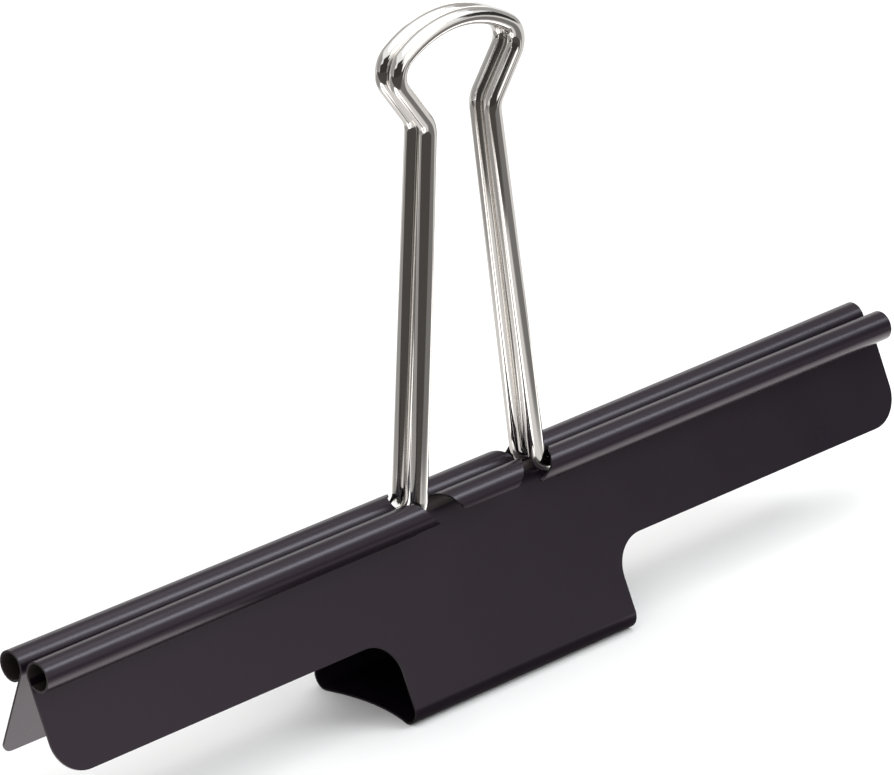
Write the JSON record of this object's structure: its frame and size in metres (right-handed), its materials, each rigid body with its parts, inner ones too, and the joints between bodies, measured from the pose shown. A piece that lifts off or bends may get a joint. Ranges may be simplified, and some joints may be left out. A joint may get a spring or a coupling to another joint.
{
  "type": "binder clip",
  "caption": "Wide-jaw spring binder clip: a bent steel strip with long curled lips and bent-wire handles that swing from upright to flat along the jaws.",
  "frame": {"origin": "centre of the flat back's underside, midway between the two jaws", "axes": "+X along the curled lips; +Y from the front jaw to the rear jaw; +Z from the back up through the lips to the heads of the upright handles"},
  "size_m": [0.15, 0.0192, 0.0892],
  "materials": {
    "black_steel": "satin black enamel over spring steel",
    "bright_wire": "bright nickel plate"
  },
  "bodies": {
    "spring_back": {"spring_back": "black_steel"},
    "front_jaw": {"front_jaw": "black_steel"},
    "rear_jaw": {"rear_jaw": "black_steel"},
    "front_handle": {"front_handle": "bright_wire"},
    "rear_handle": {"rear_handle": "bright_wire"}
  },
  "joints": [
    {"name": "front_jaw_flex", "type": "hinge", "parent": "spring_back", "child": "front_jaw", "pos_m": [0, -0.0076, 0], "axis": [1, 0, 0], "range_deg": [0, 20], "stiffness_Nm_per_rad": 0.5, "springref_deg": -11.46},
    {"name": "rear_jaw_flex", "type": "hinge", "parent": "spring_back", "child": "rear_jaw", "pos_m": [0, 0.0076, 0], "axis": [-1, 0, 0], "range_deg": [0, 20], "stiffness_Nm_per_rad": 0.5, "springref_deg": -11.46},
    {"name": "front_handle_swing", "type": "hinge", "parent": "front_jaw", "child": "front_handle", "pos_m": [0, -0.00172, 0.0243], "axis": [1, 0, 0], "range_deg": [0, 157.5]},
    {"name": "rear_handle_swing", "type": "hinge", "parent": "rear_jaw", "child": "rear_handle", "pos_m": [0, 0.00172, 0.0243], "axis": [-1, 0, 0], "range_deg": [0, 157.5]}
  ],
  "couplings": [
    {"joint": "rear_jaw_flex", "follows": "front_jaw_flex", "ratio": 1}
  ]
}
